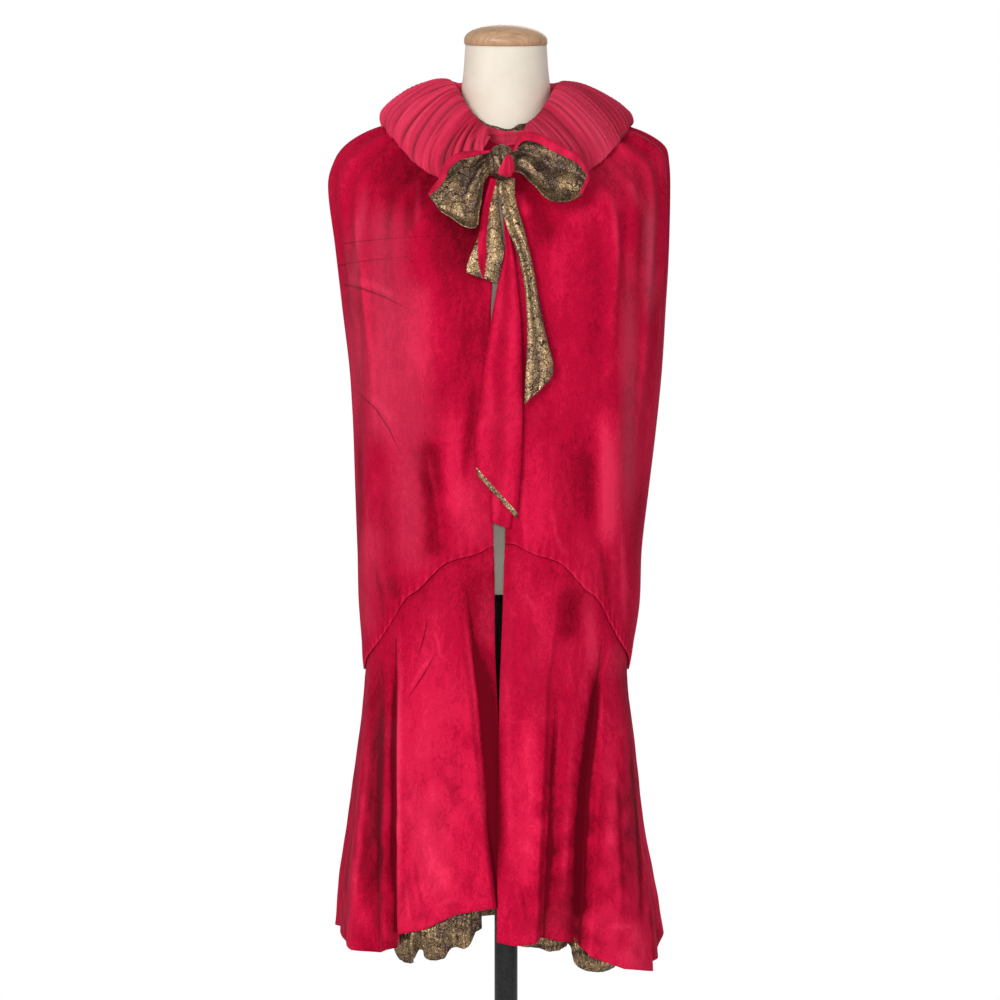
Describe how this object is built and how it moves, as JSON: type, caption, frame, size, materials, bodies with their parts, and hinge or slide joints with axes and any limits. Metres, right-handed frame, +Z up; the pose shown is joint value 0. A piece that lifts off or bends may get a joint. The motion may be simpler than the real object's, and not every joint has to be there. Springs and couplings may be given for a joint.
{
  "type": "cape coat on a dress form",
  "caption": "Armless evening cape coat of red silk velvet with a ruched collar, a bow at the neck and a flared skirt, standing on a limbless dress form.",
  "frame": {"origin": "centre of the base's underside, on the pole's axis", "axes": "+Z up along the pole; the cape's front faces -Y; +X is to the viewer's right, the wearer's left"},
  "size_m": [0.4439, 0.4388, 1.561],
  "materials": {
    "velvet": "crimson silk velvet, soft pile",
    "velvet_ruched": "the same velvet drawn into pleats, lighter on the crests",
    "lace_lining": "gold metal cloth under fine black lace",
    "form_cover": "smooth cream cotton cover",
    "turned_wood": "light turned wood, satin",
    "painted_iron": "black satin paint"
  },
  "bodies": {
    "root": {"front_left": "velvet", "front_right": "velvet", "back": "velvet", "skirt_left": "velvet", "skirt_right": "velvet", "skirt_back": "velvet", "tail_red": "velvet", "tail_red_under": "velvet", "collar": "velvet_ruched", "neck_band": "velvet_ruched", "hem_ruffle_left": "lace_lining", "hem_ruffle_right": "lace_lining", "knot": "lace_lining", "loop_left": "lace_lining", "loop_right": "lace_lining", "tail_gold": "lace_lining", "tail_short": "lace_lining", "form_torso": "form_cover", "neck_cap": "turned_wood", "form_base": "painted_iron", "form_pole": "painted_iron"}
  },
  "joints": []
}
